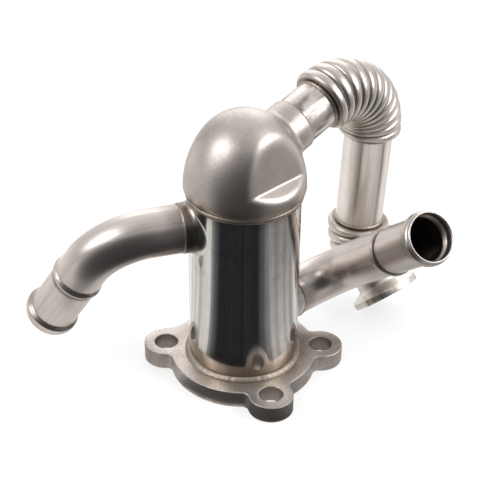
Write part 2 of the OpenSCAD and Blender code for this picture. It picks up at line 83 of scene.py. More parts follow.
class CoolerSizes(bpy.types.PropertyGroup):
    """Sizes of the pieces, as in the part's source but for some beads and edges seen in the photograph."""

    flange_t: length("Flange thickness", "Thickness of the flange plate", 7)
    flange_disc_r: length("Flange radius", "Radius of the plate's round middle", 28.3)
    ear_r: length("Ear radius", "Radius of each bolt ear", 8.6)
    bolt_circle_r: length("Bolt circle", "Radius from the axis to the bolt holes", 30.5)
    bolt_hole_r: length("Bolt hole", "Radius of the bolt holes", 4.5)
    left_ear_az: angle("Left ear", "Azimuth of the left ear", 173.4)
    right_ear_az: angle("Right ear", "Azimuth of the right ear", 5.2)
    front_ear_az: angle("Front ear", "Azimuth of the front ear", -69.8)
    ear_fillet_r: length("Ear corner", "Radius of the hollow corners beside the ears", 2.5)
    long_fillet_r: length("Long corner", "Radius of the hollow corner behind the left ear", 14)
    gas_port_r: length("Gas port", "Radius of the port under the tubes", 18)
    plate_edge: length("Plate edge", "Rounding of the plate's edges", 0.45)
    seat_z: length("Shell seat", "Height at which the shell stands in the flange", 4)
    shell_r: length("Shell radius", "Outer radius of the shell", 21)
    shell_wall: length("Shell wall", "Wall thickness of the shell", 1)
    shell_top: length("Shell top", "Height of the shell's upper end", 82)
    dome_r: length("Dome radius", "Largest radius of the dome", 22.75)
    dome_z: length("Dome centre", "Height of the centre of the dome's side arc", 80.9)
    dome_rise: length("Dome rise", "Height of the dome above its centre", 30)
    dome_side_r: length("Dome side", "Radius of the dome's side arc", 38)
    rim_z: length("Rim height", "Height of the dome's lower edge", 79.6)
    rim_h: length("Rim roll", "Height of the rolled edge", 2.6)
    rim_r: length("Rim radius", "Radius at the rolled edge's lower end", 21.6)
    flat_az: angle("Flat azimuth", "Azimuth that the pressed flat faces", -45.3)
    flat_el: angle("Flat elevation", "Elevation that the pressed flat faces", 11.9)
    flat_dist: length("Flat distance", "Distance of the flat from the dome's centre", 18.5)
    ledge_h: length("Ledge height", "Height of the flat's lower edge over the dome's centre", 7.4)
    ledge_slope: angle("Ledge slope", "Fall of the ledge below the flat", 28)
    flat_edge: length("Flat edge", "Softness of the edges round the flat", 1.8)
    gas_r: length("Gas pipe", "Outer radius of the gas pipe", 9.5)
    gas_wall: length("Gas pipe wall", "Wall thickness of the gas pipe", 1)
    neck_wall: length("Neck wall", "Wall thickness of the pulled necks", 0.35)
    neck_round: length("Neck rounding", "Rounding where a neck leaves its wall", 2.6)
    neck_z: length("Neck height", "Height of the dome's neck at the shell's axis", 90)
    neck_az: angle("Neck azimuth", "Azimuth of the dome's neck", 42.8)
    neck_el: angle("Neck elevation", "Elevation of the dome's neck", 18)
    neck_reach: length("Neck reach", "Distance from the axis to the neck's end", 25.5)
    stub_start: length("Stub start", "Distance from the axis to the stub's hidden end", 21.9)
    stub_reach: length("Stub reach", "Distance from the axis to the upper bellows", 40.2)
    upper_bend_r: length("Upper bend", "Bend radius of the upper bellows", 21.8)
    upper_roll: angle("Upper roll", "Turn of the upper bend about the neck", 1.3)
    upper_angle: angle("Upper angle", "Angle of the upper bend", 110.5)
    upper_count: IntProperty(name="Upper folds", description="Convolutions of the upper bellows", default=12)
    down_len: length("Down tube", "Length of the straight tube between the bellows", 42.9)
    lower_bend_r: length("Lower bend", "Bend radius of the lower bellows", 21.7)
    lower_roll: angle("Lower roll", "Turn of the lower bend about the down tube", -95)
    lower_angle: angle("Lower angle", "Angle of the lower bend", 44.7)
    lower_count: IntProperty(name="Lower folds", description="Convolutions of the lower bellows", default=5)
    bellows_r: length("Bellows radius", "Radius over the crests", 12.4)
    crest_h: length("Crest height", "Height of a convolution", 1.9)
    bellows_wall: length("Bellows wall", "Wall thickness of the bellows", 0.4)
    crest_lap: length("Crest lap", "How far the end crests reach over the cuffs", 1.3)
    cuff_len: length("Cuff", "Length of the plain cuff at each end of a bellows", 2)
    outlet_len: length("Outlet", "Length of the gas outlet", 17.2)
    outlet_r: length("Outlet rim", "Radius of the outlet flange", 14)
    outlet_rim_t: length("Outlet rim thickness", "Thickness of the outlet flange's rim", 3)
    outlet_cone_t: length("Outlet cone", "Length of the cone behind the rim", 2.6)
    pipe_r: length("Coolant pipe", "Outer radius of the coolant pipes", 9.1)
    pipe_wall: length("Coolant pipe wall", "Wall thickness of the coolant pipes", 1)
    socket_seat: length("Socket seat", "Distance from the axis to a pipe's hidden end", 21.5)
    socket_end: length("Socket end", "Distance from the axis to the end of a shell neck", 24.6)
    left_z: length("Outlet height", "Height of the coolant outlet", 67)
    left_az: angle("Outlet azimuth", "Azimuth of the coolant outlet", 197.7)
    left_run: length("Outlet run", "Distance from the axis to the outlet pipe's bend", 36)
    left_bend_r: length("Outlet bend", "Bend radius of the outlet pipe", 25)
    left_roll: angle("Outlet roll", "Turn of the outlet pipe's bend", -25)
    left_angle: angle("Outlet angle", "Angle of the outlet pipe's bend", 67.8)
    left_tail: length("Outlet tail", "Length from the outlet pipe's bend to its stop bead", 7.9)
    # The outlet pipe's painted shade line behind its stop bead begins this far past the bead
    left_shade_line: length("Outlet dirt", "Distance of the hose's line of dirt from the stop bead", 0.9)
    right_z: length("Inlet height", "Height of the coolant inlet", 20.5)
    right_az: angle("Inlet azimuth", "Azimuth of the coolant inlet", 43.3)
    right_run: length("Inlet run", "Distance from the axis to the inlet pipe's bend", 25.6)
    right_bend_r: length("Inlet bend", "Bend radius of the inlet pipe", 19.5)
    right_roll: angle("Inlet roll", "Turn of the inlet pipe's bend", -130.4)
    right_angle: angle("Inlet angle", "Angle of the inlet pipe's bend", 97.2)
    right_tail: length("Inlet tail", "Length from the inlet pipe's bend to its stop bead", 28.1)
    # The inlet pipe's painted shade line behind its stop bead begins this far past the bead
    right_shade_line: length("Inlet dirt", "Distance of the hose's line of dirt from the stop bead", 0)
    spigot_len: length("Spigot", "Length from the stop bead to the mouth", 26)
    stop_bead_h: length("Stop bead", "Height of the stop bead", 0.8)
    stop_bead_len: length("Stop bead rise", "Length over which the pipe swells to the stop bead", 3.2)
    end_bead_h: length("End bead", "Height of the bead at the mouth", 1.25)
    end_bead_len: length("End bead rise", "Length over which the spigot swells to its end bead", 1.8)
    end_land: length("End bead top", "Length of the end bead's top", 2.8)
    end_drop: length("End bead drop", "Fall of the end bead's top to the lip", 0.6)
    lip_len: length("Lip", "Length of the rounded lip at a coolant pipe's mouth", 1)
    base_weld_w: length("Base weld", "Leg of the bead at the flange", 1.7)
    dome_weld_w: length("Dome weld", "Height of the bead under the dome", 2.3)
    fillet_w: length("Pipe fillet", "Leg of the beads on the pipes", 0.7)
    weld_sink: length("Weld depth", "How far a bead's hidden corner lies inside the metal", 0.15)


class CoolerFinish(bpy.types.PropertyGroup):
    """Colours of the steels and the studio."""

    machined: colour("Machined steel", "Blasted stainless plate of the flange", "#dcd3cd")
    polished: colour("Polished steel", "Bright drawn tube of the shell", "#d6d2ce")
    blasted: colour("Blasted steel", "Bead-blasted pressing of the dome", "#c8bfb9")
    satin: colour("Satin steel", "Tumbled tube of the gas pipe", "#ebe5df")
    wiped: colour("Wiped steel", "Wiped tube of the stub", "#e0d9d3")
    drawn: colour("Drawn steel", "Satin drawn tube of the coolant pipes", "#d6cdc7")
    formed: colour("Formed steel", "Thin formed sheet of the bellows", "#d2cac3")
    plain: colour("Plain steel", "Furnace-brazed tubes and sheets inside the shell", "#8f8b86")
    weld: colour("Weld", "Oxidised weld metal", "#b5a99d")
    heat_tint: colour("Heat tint", "Straw-brown oxide beside the welds", "#8f7a5a")
    # Also the colour of the painted shade behind the coolant pipes' beads and in the roots of the bellows
    burnt_oxide_and_shade: colour("Burnt oxide", "Dark brown oxide in necks and on wiped joints", "#5a4a3e")
    sawn: colour("Sawn side", "Dull sides and holes of the flange", "#8a827b")
    white: colour("White", "Studio background", "#ffffff")
    floor: colour("Floor", "Studio floor", "#f2f2f2")
    bounce: colour("Mirrored floor", "Floor as the steel mirrors it", "#fffdfa")
    card: colour("White card", "Card in front of the gas pipe", "#fffcf8")
    flag: colour("Dark flag", "Black studio cloth that the steel mirrors", "#e6ecf2")


def sizes():
    """The scene's sizes."""
    return bpy.context.scene.cooler_sizes


def finish():
    """The scene's colours."""
    return bpy.context.scene.cooler_finish


def turn_y(a):
    """Rotation about Y."""
    return np.array([[cos(a), 0, sin(a)], [0, 1, 0], [-sin(a), 0, cos(a)]])


def turn_z(a):
    """Rotation about Z."""
    return np.array([[cos(a), -sin(a), 0], [sin(a), cos(a), 0], [0, 0, 1]])


def polar(r, az):
    """A point in the plane at a radius and an azimuth."""
    return r * np.array([cos(az), sin(az)])


def aim(z, az, el):
    """A place on the shell's axis at height z, as a point and axes whose Z points along az and el."""
    return np.array([0, 0, z]), turn_z(az) @ turn_y(pi / 2 - el)


def moved(place, distance):
    """The place further along its own Z."""
    point, axes = place
    return point + axes[:, 2] * distance, axes


def rolled(place, roll):
    """The place turned about its own Z."""
    point, axes = place
    return point, axes @ turn_z(roll)


def bent(place, bend_r, bend):
    """The place at the end of a bend from its Z towards its X."""
    point, axes = place
    end = bend_r * np.array([1 - cos(bend), 0, sin(bend)])
    return point + axes @ end, axes @ turn_y(bend)


def gas_places():
    """Places along the gas pipe: neck, upper bend, down tube, lower bend and outlet, each from the last."""
    s = sizes()
    neck = aim(s.neck_z, s.neck_az, s.neck_el)
    upper = rolled(moved(neck, s.stub_reach), s.upper_roll)
    down = bent(upper, s.upper_bend_r, s.upper_angle)
    lower = rolled(moved(down, s.down_len), s.lower_roll)
    return neck, upper, down, lower, bent(lower, s.lower_bend_r, s.lower_angle)


def bolt_axes():
    """Points in the plane where the three bolt holes lie."""
    s = sizes()
    return [polar(s.bolt_circle_r, az) for az in (s.left_ear_az, s.right_ear_az, s.front_ear_az)]


def around(count=FINE):
    """Angles once round a ring."""
    return np.arange(count) * 2 * pi / count


def rings(place, profile, run=0.0, bend_r=1.0, bend=0.0, sides=FINE, start=0.0):
    """Circles of a profile's radii, carried along a straight run, a bend and a straight tail.

    A profile row is a distance along the path and a radius. The path's angle is the distance past the
    run over the bend's radius, kept between 0 and the whole bend; what is left over goes on straight.
    Each point is followed by its place in the pipe as if that were straight, with its length measured
    from start, for grain along the pipe.
    """
    s, r = np.asarray(profile).T
    t = np.clip((s - run) / bend_r, 0, bend)
    before = np.minimum(s, run)
    after = np.maximum(s - run - bend_r * bend, 0)
    zero = np.zeros_like(s)
    across = bend_r * (1 - np.cos(t)) + after * np.sin(t)
    along = before + bend_r * np.sin(t) + after * np.cos(t)
    centre = np.stack([across, zero, along], 1)
    inward = np.stack([np.cos(t), zero, -np.sin(t)], 1)
    phi = around(sides)[None, :, None]
    sideways = np.array([0, 1, 0])
    local = centre[:, None] + r[:, None, None] * (np.cos(phi) * inward[:, None] + np.sin(phi) * sideways)
    point, axes = place
    phi = phi[..., 0]
    section = np.stack([r[:, None] * np.cos(phi), r[:, None] * np.sin(phi), s[:, None] - start + 0 * phi], -1)
    return np.concatenate([point + local @ axes.T, section], -1)


def rounded(points, radius, steps=6):
    """A closed profile with its corners replaced by quadratic curves that start a radius from each corner."""
    p = np.asarray(points, float)
    before = np.roll(p, 1, 0) - p
    after = np.roll(p, -1, 0) - p
    b = np.linalg.norm(before, axis=1, keepdims=True)
    a = np.linalg.norm(after, axis=1, keepdims=True)
    reach = np.minimum(radius, 0.45 * np.minimum(a, b))
    start = p + before / b * reach
    end = p + after / a * reach
    t = np.linspace(0, 1, steps)[:, None, None]
    curve = (1 - t) ** 2 * start + 2 * t * (1 - t) * p + t**2 * end
    return curve.transpose(1, 0, 2).reshape(-1, 2)


def grid_faces(rows, columns, closed, first):
    """Quads between neighbouring rows of a grid whose columns close on themselves."""
    i = np.arange(rows if closed else rows - 1)[:, None]
    j = np.arange(columns)[None, :]
    k = (j + 1) % columns
    n = (i + 1) % rows
    quads = np.stack([i * columns + j, n * columns + j, n * columns + k, i * columns + k], -1)
    return quads.reshape(-1, 4) + first


def piece(name, grids, material, nodes, sharp=40):
    """Makes one object of several grids, each with a flag for rows that close, in place of its CAD nodes.

    Points without a place in a pipe keep their own place as the one that the grain follows.
    """
    points, faces, count = [], [], 0
    for grid, closed in grids:
        rows, columns, width = grid.shape
        faces.append(grid_faces(rows, columns, closed, count))
        points.append(np.tile(grid.reshape(-1, width), 6 // width))
        count += rows * columns
    both = np.vstack(points)
    mesh = bpy.data.meshes.new(name)
    mesh.from_pydata(both[:, :3].tolist(), [], np.vstack(faces).tolist())
    section = mesh.attributes.new("section", "FLOAT_VECTOR", "POINT")
    section.data.foreach_set("vector", both[:, 3:].ravel())
    place_mesh(name, mesh, material, nodes, sharp)


def place_mesh(name, mesh, material, nodes, sharp=40):
    """Closes poles and seams, turns faces outwards, shades up to a sharp angle, gives material and body."""
    if "section" not in mesh.attributes:
        own = np.empty(3 * len(mesh.vertices))
        mesh.vertices.foreach_get("co", own)
        mesh.attributes.new("section", "FLOAT_VECTOR", "POINT").data.foreach_set("vector", own)
    work = bmesh.new()
    work.from_mesh(mesh)
    bmesh.ops.remove_doubles(work, verts=work.verts, dist=1e-7)
    bmesh.ops.recalc_face_normals(work, faces=work.faces)
    work.to_mesh(mesh)
    work.free()
    mesh.shade_smooth()
    mesh.set_sharp_from_angle(angle=radians(sharp))
    mesh.materials.append(material)
    thing = bpy.data.objects.new(name, mesh)
    bpy.context.scene.collection.objects.link(thing)
    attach(thing, "root")
    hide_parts(*nodes)


def bisect(depth, low, high, steps=40):
    """Where a depth function of a distance passes through zero, by halving the range between low and high."""
    low = np.array(low, float)
    high = np.array(high, float)
    for _ in range(steps):
        middle = (low + high) / 2
        inside = depth(middle) < 0
        low = np.where(inside, middle, low)
        high = np.where(inside, high, middle)
    return (low + high) / 2


def soft_max(a, b, width):
    """The larger of two depths, with a rounded edge of a given width where they meet."""
    h = np.clip(0.5 + 0.5 * (a - b) / width, 0, 1)
    return a * h + b * (1 - h) + width * h * (1 - h)


def shell_depth(p):
    """Height of points over the shell's outside: distance from its axis less its radius."""
    return np.hypot(p[..., 0], p[..., 1]) - sizes().shell_r


def dome_depth(p):
    """Height of points over the dome's outside.

    The turned form is a side arc that meets a crown arc in a common tangent. The pressed flat and its
    sloping ledge cut a corner out of it, and a soft maximum rounds the edges between them.
    """
    s = sizes()
    q = np.hypot(p[..., 0], p[..., 1])
    z = p[..., 2] - s.dome_z
    side_c = s.dome_r - s.dome_side_r
    crown_r = (s.dome_side_r**2 - s.dome_rise**2 - side_c**2) / (2 * (s.dome_side_r - s.dome_rise))
    crown_z = s.dome_rise - crown_r
    side = np.hypot(q - side_c, z) - s.dome_side_r
    crown = np.hypot(q, z - crown_z) - crown_r
    turned = np.where(-side_c * z > crown_z * (q - side_c), crown, side)
    outward = p[..., 0] * cos(s.flat_az) + p[..., 1] * sin(s.flat_az)
    flat = outward * cos(s.flat_el) + z * sin(s.flat_el) - s.flat_dist
    foot = (s.flat_dist - s.ledge_h * sin(s.flat_el)) / cos(s.flat_el)
    ledge = (z - s.ledge_h + (outward - foot) * tan(s.ledge_slope)) * cos(s.ledge_slope)
    cut = -soft_max(-flat, -ledge, 0.3 * s.flat_edge)
    return soft_max(turned, cut, s.flat_edge)


def pulled_neck(place, depth, r, reach, bore):
    """Grid of a neck pulled out of a wall: a curve from the wall to the neck, then its end and its bore.

    Each column starts on the wall at the neck's radius plus its rounding, and its quadratic curve has
    its middle point where the bare neck would meet the wall.
    """
    s = sizes()
    point, axes = place
    phi = around()[:, None]
    ray = np.cos(phi) * axes[:, 0] + np.sin(phi) * axes[:, 1]
    well_inside = np.full(FINE, 6 * MM)

    def at(distance, radius):
        return point + ray * radius + axes[:, 2] * np.broadcast_to(distance, FINE)[:, None]

    def on_wall(radius):
        return bisect(lambda d: depth(at(d, radius)), well_inside, well_inside + reach)

    wide = r + s.neck_round
    foot = at(on_wall(wide), wide)
    corner_d = on_wall(r)
    corner = at(corner_d, r)
    top = at(corner_d + s.neck_round * 0.9, r)
    t = np.linspace(0, 1, 14)[:, None, None]
    curve = (1 - t) ** 2 * foot + 2 * t * (1 - t) * corner + t**2 * top
    wall = r - bore
    back = [(0.7 * wall, r), (0.2 * wall, r - 0.2 * wall), (0, r - 0.7 * wall), (0, bore), (2 * MM, bore)]
    end = [at(reach - distance, radius) for distance, radius in back]
    return np.concatenate([curve, np.array(end)])


def spigot_height(u):
    """Height of the beads on a spigot over its pipe, at distances u past the stop bead's shoulder.

    The stop bead swells on a smooth step and drops in a quarter circle. The end bead swells on half a
    cosine to a level top, whose second half falls on a parabola to the lip.
    """
    s = sizes()
    h = s.stop_bead_h
    step = np.clip((u + s.stop_bead_len) / (s.stop_bead_len - h), 0, 1)
    fall = np.clip((u + h) / h, 0, 1)
    stop = h * step**2 * (3 - 2 * step) * np.sqrt(1 - fall**2)
    past_lip = u - s.spigot_len + s.lip_len
    rise = np.clip((past_lip + s.end_land + s.end_bead_len) / s.end_bead_len, 0, 1)
    turned_in = np.clip(past_lip / s.end_land * 2 + 1, 0, 1)
    return stop + s.end_bead_h * (1 - np.cos(pi * rise)) / 2 - s.end_drop * turned_in**2


def coolant_profile(run, bend_r, bend, tail):
    """Closed profile of a coolant pipe's wall: out along the outside, round the mouth and back inside."""
    s = sizes()
    shoulder = run + bend_r * bend + tail
    mouth = shoulder + s.spigot_len
    swell = shoulder - s.stop_bead_len
    crest = shoulder - 1.1 * s.stop_bead_h
    end_bead = mouth - 6 * MM
    lip = mouth - s.lip_len
    d = np.concatenate([
        np.linspace(s.socket_seat, run, 6)[:-1],
        np.linspace(run, swell, 72)[:-1],
        np.linspace(swell, crest, 24)[:-1],
        np.linspace(crest, shoulder, 24),
        np.linspace(shoulder, end_bead, 8)[1:-1],
        np.linspace(end_bead, lip, 30),
    ])
    outside = np.stack([d, s.pipe_r + spigot_height(d - shoulder)], 1)
    inside = outside - [0, s.pipe_wall]
    turn = np.linspace(0, pi, 15)[1:-1]
    middle = outside[-1, 1] - s.pipe_wall / 2
    edge = np.stack([lip + s.lip_len * np.sin(turn), middle + s.pipe_wall / 2 * np.cos(turn)], 1)
    return np.concatenate([outside, edge, inside[::-1]])


def bellows_profile(count, bend_length):
    """Closed profile of a bellows wall: full round crests between narrow roots, and a cuff at each end.

    A crest's height is the root of one less the 2.6th power of the share of the way from its middle.
    """
    s = sizes()
    fold = np.arange(count)[:, None]
    share = (1 - np.cos(np.linspace(0, pi, 25)[:-1])) / 2
    first = -s.crest_lap
    last = bend_length + s.crest_lap
    d = (first + (fold + share) / count * (last - first)).ravel()
    crest = np.tile(np.sqrt(1 - np.abs(2 * share - 1) ** 2.6), count)
    clearance = 0.15 * MM
    step = 0.1 * MM
    cuff = s.gas_r + clearance + s.bellows_wall
    root = s.bellows_r - s.crest_h
    body = np.stack([d, root + s.crest_h * crest], 1)
    start = [[-s.cuff_len, cuff], [first - step, cuff]]
    end = [[last, root], [last + step, cuff], [bend_length + s.cuff_len, cuff]]
    outside = np.concatenate([start, body, end])
    return np.concatenate([outside, outside[::-1] - [0, s.bellows_wall]])


def bead_ring(place, at, r, out, up, side, whole=False):
    """Grid of a weld bead: a bulging section round a pipe, between it and the face at a distance along it.

    A fillet's section is a quarter of a superellipse with one leg out over the face and one along the
    pipe, and its corner lies inside both; a whole bead bulges to both sides. Four sines of uneven count
    vary the legs by a few hundredths, as filler metal lies.
    """
    sink = sizes().weld_sink
    point, axes = place
    phi = around(4 * FINE)
    a = np.linspace(-pi / 2 if whole else 0, pi / 2, 17)[:, None]
    power = 1 if whole else 1.5
    bulge = np.sign(a) * np.abs(np.sin(a)) ** power
    reach = np.cos(a).clip(0) ** power
    waves = np.sin(61 * phi) + np.sin(37 * phi + 1) + np.sin(23 * phi + 2) + np.sin(11 * phi + 0.5)
    ripple = 1 + 0.015 * waves
    radius = np.vstack([np.full_like(phi, r - sink), r + out * ripple * reach])
    along = np.vstack([np.full_like(phi, at - side * sink), at + side * up * ripple * bulge])
    local = np.stack([radius * np.cos(phi), radius * np.sin(phi), along], -1)
    return point + local @ axes.T


def plate_outline():
    """Outline of the flange: arcs of the round middle, hollow corners and ears, tangent to each other.

    A corner's centre lies at the sum of its radius and the middle's from the axis, and at the sum of its
    radius and the ear's from the ear; the cosine rule gives its angle from the ear.
    """
    s = sizes()

    def arc(centre, r, start, end):
        a = np.linspace(start, end, 40)[:-1]
        return centre + r * np.stack([np.cos(a), np.sin(a)], 1)

    def heading(v):
        return np.arctan2(v[1], v[0])

    def swing(corner_r):
        out = s.flange_disc_r + corner_r
        near = s.ear_r + corner_r
        return np.arccos((out**2 + s.bolt_circle_r**2 - near**2) / (2 * out * s.bolt_circle_r))

    ears = [
        (s.front_ear_az, s.ear_fillet_r, s.ear_fillet_r),
        (s.right_ear_az, s.ear_fillet_r, s.ear_fillet_r),
        (s.left_ear_az, s.long_fillet_r, s.ear_fillet_r),
    ]
    corners = [(az - swing(before), az + swing(after)) for az, before, after in ears]
    parts = []
    for i, (az, before, after) in enumerate(ears):
        ear = polar(s.bolt_circle_r, az)
        first, last = corners[i]
        c1 = polar(s.flange_disc_r + before, first)
        c2 = polar(s.flange_disc_r + after, last)
        into = np.unwrap([first + pi, heading(ear - c1)])
        out = np.unwrap([heading(ear - c2), last + pi])
        start = heading(c1 - ear)
        end = start + (heading(c2 - ear) - start) % (2 * pi)
        following = corners[(i + 1) % 3][0]
        parts += [
            arc(c1, before, *into),
            arc(ear, s.ear_r, start, end),
            arc(c2, after, *out),
            arc(np.zeros(2), s.flange_disc_r, last, last + (following - last) % (2 * pi)),
        ]
    return np.concatenate(parts)


def plate_mesh():
    """Mesh of the flange: its outline and its round holes as one filled flat curve with rounded edges."""
    s = sizes()
    phi = around(96)
    circle = np.stack([np.cos(phi), np.sin(phi)], 1)
    loops = [plate_outline(), s.gas_port_r * circle]
    loops += [axis + s.bolt_hole_r * circle for axis in bolt_axes()]
    curve = bpy.data.curves.new("flange_outline", "CURVE")
    curve.dimensions = "2D"
    curve.fill_mode = "BOTH"
    curve.extrude = s.flange_t / 2 - s.plate_edge
    curve.bevel_depth = s.plate_edge
    curve.bevel_resolution = 3
    curve.offset = -s.plate_edge
    for loop in loops:
        spline = curve.splines.new("POLY")
        spline.points.add(len(loop) - 1)
        spline.points.foreach_set("co", np.hstack([loop, np.tile([0, 1], (len(loop), 1))]).ravel())
        spline.use_cyclic_u = True
    drawn = bpy.data.objects.new("flange_outline", curve)
    bpy.context.scene.collection.objects.link(drawn)
    bpy.context.view_layer.update()
    mesh = bpy.data.meshes.new_from_object(drawn.evaluated_get(bpy.context.evaluated_depsgraph_get()))
    bpy.data.objects.remove(drawn)
    mesh.transform(Matrix.Translation((0, 0, s.flange_t / 2)))
    mesh.materials.clear()
    return mesh


def add(tree, kind, inputs=(), out=0, **settings):
    """Adds a shader node, sets or links its inputs in order or by name, and gives one of its outputs."""
    node = tree.nodes.new("ShaderNode" + kind)
    for key, value in settings.items():
        setattr(node, key, value)
    for socket, value in inputs.items() if isinstance(inputs, dict) else enumerate(inputs):
        if isinstance(value, bpy.types.NodeSocket):
            tree.links.new(value, node.inputs[socket])
        else:
            node.inputs[socket].default_value = value
    return node.outputs[out] if node.outputs else None


def new_material(name):
    """An empty node material and its Object coordinates."""
    material = bpy.data.materials.new(name)
    material.use_nodes = True
    tree = material.node_tree
    tree.nodes.clear()
    return material, tree, add(tree, "TexCoord", out="Object")


def along_pipe(tree, stretch=1):
    """Node output: a point's place in its pipe as if that were straight, with its length scaled."""
    section = add(tree, "Attribute", out="Vector", attribute_name="section")
    return add(tree, "Mapping", {"Vector": section, "Scale": (1, 1, stretch)})


def steel(name, tint, rough, spread, bump, grain_mm=0.5, stretch=1, mottle=0.18, stains_and_shade=None, dull=None):
    """Bare stainless steel: a metal whose gloss and height vary with a fine grain and broad cloudy patches.

    rough and spread are the middle and the half range of the roughness, grain_mm is the grain's size, mottle
    the share by which its hollows are darker, and stretch makes the grain run along a pipe. stains_and_shade
    and dull, if given, change the colour and the roughness from place to place, the colour with stains and on
    some pieces with painted shade; each takes the node tree, the coordinates and the value so far.
    """
    material, tree, place = new_material(name)
    grain = add(tree, "TexNoise", {
        "Vector": along_pipe(tree, stretch), "Scale": 1 / (grain_mm * MM), "Detail": 4})
    cloud = add(tree, "TexNoise", {"Vector": place, "Scale": 1 / (14 * MM), "Detail": 3})
    mixed = add(tree, "Math", [grain, cloud], operation="ADD")
    gloss = add(tree, "MapRange", {
        "Value": mixed, "From Min": 0.6, "From Max": 1.4, "To Min": rough - spread, "To Max": rough + spread})
    speck = add(tree, "MapRange", {"Value": mixed, "From Min": 0.7, "From Max": 1.3})
    darker = (*((1 - mottle) * c for c in tint[:3]), 1)
    clean = add(tree, "Mix", {"Factor": speck, 6: tuple(tint), 7: darker}, 2, data_type="RGBA")
    relief = add(tree, "Bump", {"Height": grain, "Strength": bump, "Distance": 0.05 * MM})
    shader = add(tree, "BsdfPrincipled", {
        "Base Color": stains_and_shade(tree, place, clean) if stains_and_shade else clean, "Metallic": 1.0,
        "Roughness": dull(tree, place, gloss) if dull else gloss, "Normal": relief})
    add(tree, "OutputMaterial", {"Surface": shader})
    return material


def axis_distance(tree, place):
    """Node output: distance of a point from the shell's axis, or of a place in a pipe from the pipe's."""
    flat = add(tree, "VectorMath", [place, (1, 1, 0)], operation="MULTIPLY")
    return add(tree, "VectorMath", [flat], "Value", operation="LENGTH")


def film(tree, clean, value, near, far, most, tint):
    """Node output: tint over the colour so far, most of it where a value is near and none where it is far."""
    share = add(tree, "MapRange", {
        "Value": value, "From Min": near, "From Max": far, "To Min": most, "To Max": 0.0})
    return add(tree, "Mix", {"Factor": share, 6: clean, 7: tuple(tint)}, 2, data_type="RGBA")


def smears(tree, clean, size_mm, stretch, low, high, most, tint):
    """Wiped patches or streaks of tint: none where a noise is under low, most where it is over high."""
    noise = add(tree, "TexNoise", {
        "Vector": along_pipe(tree, stretch), "Scale": 1 / (size_mm * MM), "Detail": 5})
    return film(tree, clean, noise, high, low, most, tint)


def oxide(tree, place, clean, along, near, far, most, tint):
    """Film with a cloudy edge, for oxide and for painted shade: most of its tint at the distance near, none
    at far.
    """
    cloud = add(tree, "TexNoise", {"Vector": place, "Scale": 1 / (6 * MM), "Detail": 4})
    wavy = add(tree, "Math", [cloud, far - near, along], operation="MULTIPLY_ADD")
    middle = (far - near) / 2
    return film(tree, clean, wavy, near + middle, far + middle, most, tint)


def upright_faces(tree):
    """Node output: one on upright faces, nought on level ones."""
    normal = add(tree, "NewGeometry", out="Normal")
    flat = add(tree, "Math", [add(tree, "SeparateXYZ", [normal], "Z")], operation="ABSOLUTE")
    return add(tree, "MapRange", {
        "Value": flat, "From Min": 0.3, "From Max": 0.8, "To Min": 1.0, "To Max": 0.0})


def shell_stain(tree, place, clean):
    """Oxide over the base weld, under the dome's bead and on the pulled necks, darkest on the upper one."""
    s = sizes()
    tint = finish().heat_tint
    burnt_oxide_and_shade = finish().burnt_oxide_and_shade
    level = add(tree, "SeparateXYZ", [place], "Z")
    base = oxide(tree, place, clean, level, s.flange_t + MM, s.flange_t + 15 * MM, most=0.7, tint=tint)
    top = oxide(tree, place, base, level, s.shell_top - 3 * MM, s.shell_top - 8 * MM, most=0.6, tint=tint)
    out = axis_distance(tree, place)
    faint = oxide(tree, place, top, out, s.shell_r + 2 * MM, s.shell_r, most=0.15, tint=burnt_oxide_and_shade)
    dark = oxide(tree, place, top, out, s.shell_r + 2 * MM, s.shell_r, most=0.8, tint=burnt_oxide_and_shade)
    upper = add(tree, "MapRange", {"Value": level, "From Min": 35 * MM, "From Max": 50 * MM})
    return add(tree, "Mix", {"Factor": upper, 6: faint, 7: dark}, 2, data_type="RGBA")


def neck_dull(tree, place, gloss):
    """The pulled necks are duller than the tube that they come out of."""
    r = sizes().shell_r
    neck = add(tree, "MapRange", {
        "Value": axis_distance(tree, place), "From Min": r + 0.05 * MM, "From Max": r + MM, "To Max": 0.2})
    return add(tree, "Math", [gloss, neck], operation="ADD")


def flange_stain(tree, place, clean):
    """Oxide round the base weld, dull sides and a dark film in the bolt holes."""
    s = sizes()
    out = axis_distance(tree, place)
    tint = finish().heat_tint
    base = oxide(tree, place, clean, out, s.shell_r + MM, s.shell_r + 7 * MM, most=0.35, tint=tint)
    cut = film(tree, base, upright_faces(tree), near=1, far=0, most=0.4, tint=finish().sawn)
    flat = add(tree, "VectorMath", [place, (1, 1, 0)], operation="MULTIPLY")
    nearest = 1.0
    for axis in bolt_axes():
        away = add(tree, "VectorMath", [flat, (*axis, 0)], "Value", operation="DISTANCE")
        nearest = add(tree, "Math", [away, nearest], operation="MINIMUM")
    hole_r = s.bolt_hole_r
    return film(tree, cut, nearest, hole_r, hole_r + 0.2 * MM, most=0.3, tint=finish().burnt_oxide_and_shade)


def flange_dull(tree, place, gloss):
    """The sides and holes are rougher than the level faces."""
    return add(tree, "Math", [upright_faces(tree), 0.1, gloss], operation="MULTIPLY_ADD")


def dome_stain(tree, place, clean):
    """Oxide along the rolled rim."""
    top = sizes().shell_top
    level = add(tree, "SeparateXYZ", [place], "Z")
    return oxide(tree, place, clean, level, top - 2 * MM, top + 3 * MM, most=0.5, tint=finish().heat_tint)


